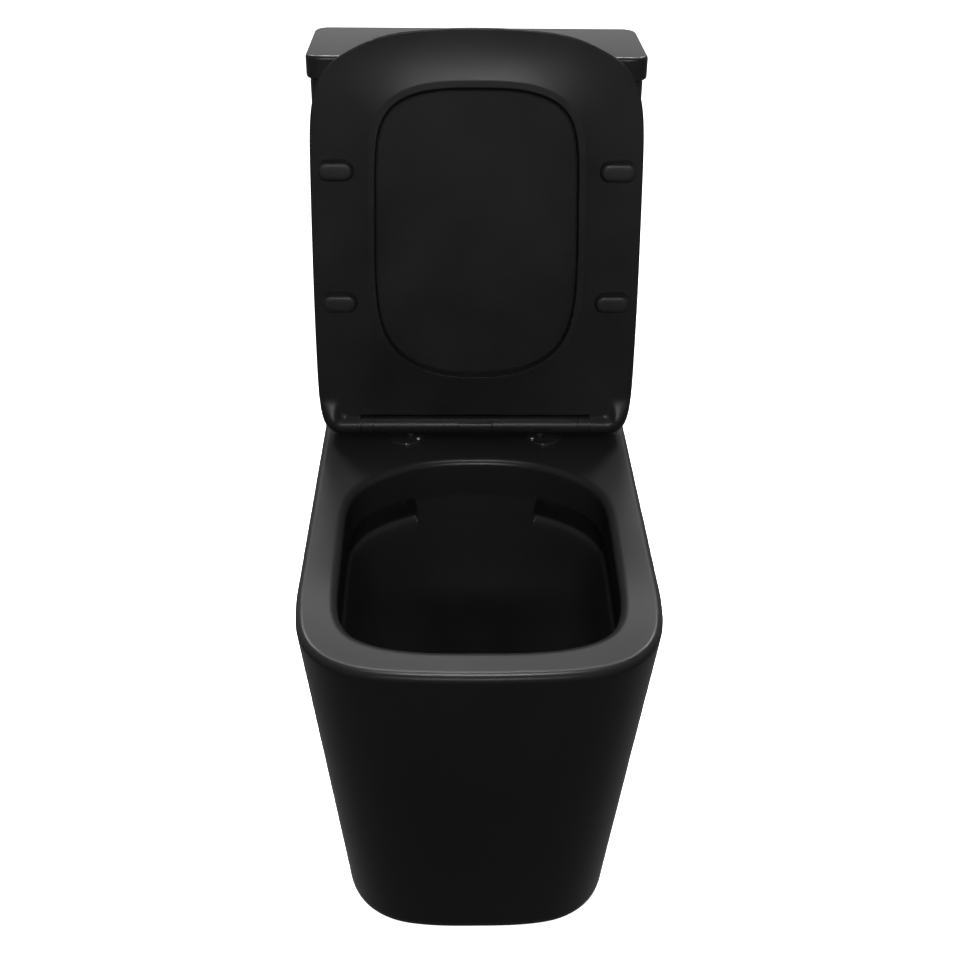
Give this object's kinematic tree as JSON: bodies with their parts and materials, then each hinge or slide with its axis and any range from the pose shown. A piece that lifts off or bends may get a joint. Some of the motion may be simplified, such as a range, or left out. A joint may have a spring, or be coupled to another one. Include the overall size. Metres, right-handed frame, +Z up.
{
  "type": "close coupled toilet",
  "caption": "Back-to-wall close coupled toilet with rimless pan, slim cistern, dual flush buttons and a soft close quick release seat, with its flush and inlet valves inside.",
  "frame": {"origin": "on the floor, in the middle of the whole object's footprint box", "axes": "+Z up, -Y to the front of the pan, +Y to the wall, +X to the toilet's left hand side as a sitter faces forward"},
  "size_m": [0.3703, 0.642, 0.8689],
  "materials": {
    "glaze": "satin black glaze",
    "seat_plastic": "matt black moulded",
    "bumper_rubber": "moulded black",
    "button_black": "satin black",
    "soft_rubber": "moulded",
    "white_plastic": "moulded white",
    "blue_plastic": "moulded blue",
    "red_plastic": "moulded red",
    "grey_plastic": "moulded grey",
    "stainless": "plain turned",
    "black_metal": "black coated",
    "polished_metal": "polished",
    "damper_metal": "drawn tube"
  },
  "bodies": {
    "toilet": {"pan": "glaze", "bowl": "glaze", "trapway": "glaze", "post_screws": "polished_metal", "cistern_tank": "glaze", "lid_pads": "soft_rubber", "cistern_pads": "soft_rubber", "coupling_gasket": "soft_rubber", "coupling_bolts": "stainless", "bolt_cone_washers": "soft_rubber", "bolt_plate_washers": "stainless", "wing_nuts": "stainless", "flush_valve_base": "white_plastic", "flush_valve_washer": "soft_rubber", "flush_valve_nut": "white_plastic", "flush_tower": "white_plastic", "lift_lever_pin": "stainless", "fill_valve_body": "white_plastic", "inlet_filter": "grey_plastic", "fill_valve_washer": "soft_rubber", "fill_valve_nut": "white_plastic", "fill_lever_pin": "stainless", "hinge_bar": "seat_plastic", "hinge_posts": "black_metal", "post_discs": "black_metal", "seat_bolts": "stainless", "seat_bolt_sleeves": "white_plastic", "seat_nuts": "white_plastic", "left_damper": "damper_metal", "right_damper": "damper_metal", "hinge_pins": "stainless", "floor_brackets": "grey_plastic", "side_screws": "stainless", "side_caps": "grey_plastic"},
    "lid": {"cistern_lid": "glaze", "button_bezel": "button_black", "button_nut": "white_plastic", "full_button_spring": "stainless", "half_button_spring": "stainless"},
    "full_button": {"full_flush_button": "button_black", "full_push_rod": "blue_plastic"},
    "half_button": {"half_flush_button": "button_black", "half_push_rod": "blue_plastic"},
    "half_trip": {"half_trip_bar": "blue_plastic"},
    "lever": {"lift_lever": "blue_plastic"},
    "flush_tube": {"lift_tube": "blue_plastic", "flush_seal": "soft_rubber", "lift_yoke": "blue_plastic", "half_flush_float": "blue_plastic"},
    "float": {"fill_float": "red_plastic", "float_link": "stainless"},
    "inlet_lever": {"fill_lever": "blue_plastic"},
    "seat_cover": {"cover": "seat_plastic", "cover_bumpers": "bumper_rubber"},
    "seat": {"seat_ring": "seat_plastic", "ring_bumpers": "bumper_rubber"},
    "release": {"release_button": "seat_plastic"},
    "latch_left": {"left_latch": "grey_plastic"},
    "latch_right": {"right_latch": "grey_plastic"}
  },
  "joints": [
    {"name": "cover_hinge", "type": "hinge", "parent": "toilet", "child": "seat_cover", "pos_m": [0, 0.1306, 0.416], "axis": [-1, 0, 0], "range_deg": [-93.6, 0]},
    {"name": "ring_hinge", "type": "hinge", "parent": "seat_cover", "child": "seat", "pos_m": [0, 0.1306, 0.416], "axis": [1, 0, 0], "range_deg": [0, 93.6]},
    {"name": "lid_lift", "type": "slide", "parent": "toilet", "child": "lid", "axis": [0, 0, 1], "range_m": [0, 0.15]},
    {"name": "full_press", "type": "slide", "parent": "lid", "child": "full_button", "axis": [0, 0, -1], "range_m": [0, 0.006], "stiffness_N_per_m": 300, "springref_m": -0.004, "deforming": ["full_button_spring"]},
    {"name": "half_press", "type": "slide", "parent": "lid", "child": "half_button", "axis": [0, 0, -1], "range_m": [0, 0.006], "stiffness_N_per_m": 300, "springref_m": -0.004, "deforming": ["half_button_spring"]},
    {"name": "trip_slide", "type": "slide", "parent": "toilet", "child": "half_trip", "axis": [0, 0, -1], "range_m": [0, 0.006]},
    {"name": "lever_pivot", "type": "hinge", "parent": "toilet", "child": "lever", "pos_m": [-0.024, 0.25, 0.734], "axis": [0, 1, 0], "range_deg": [0, 23.5]},
    {"name": "tube_lift", "type": "slide", "parent": "toilet", "child": "flush_tube", "axis": [0, 0, 1], "range_m": [0, 0.0085]},
    {"name": "float_rise", "type": "slide", "parent": "toilet", "child": "float", "axis": [0, 0, 1], "range_m": [0, 0.012]},
    {"name": "inlet_lever_pivot", "type": "hinge", "parent": "toilet", "child": "inlet_lever", "pos_m": [0.126, 0.25, 0.732], "axis": [0, 1, 0], "range_deg": [-20.5, 0]},
    {"name": "release_press", "type": "slide", "parent": "toilet", "child": "release", "axis": [0, 1, 0], "range_m": [0, 0.0025], "stiffness_N_per_m": 400, "springref_m": -0.003},
    {"name": "left_latch_slide", "type": "slide", "parent": "toilet", "child": "latch_left", "axis": [1, 0, 0], "range_m": [0, 0.003]},
    {"name": "right_latch_slide", "type": "slide", "parent": "toilet", "child": "latch_right", "axis": [-1, 0, 0], "range_m": [0, 0.003]}
  ],
  "couplings": [
    {"joint": "trip_slide", "follows": "half_press", "ratio": 1},
    {"joint": "lever_pivot", "follows": "full_press", "rad_per_m": 66.67},
    {"joint": "tube_lift", "follows": "full_press", "ratio": 1.4},
    {"joint": "inlet_lever_pivot", "follows": "float_rise", "rad_per_m": -29.4},
    {"joint": "left_latch_slide", "follows": "release_press", "ratio": 1.2},
    {"joint": "right_latch_slide", "follows": "release_press", "ratio": 1.2}
  ]
}
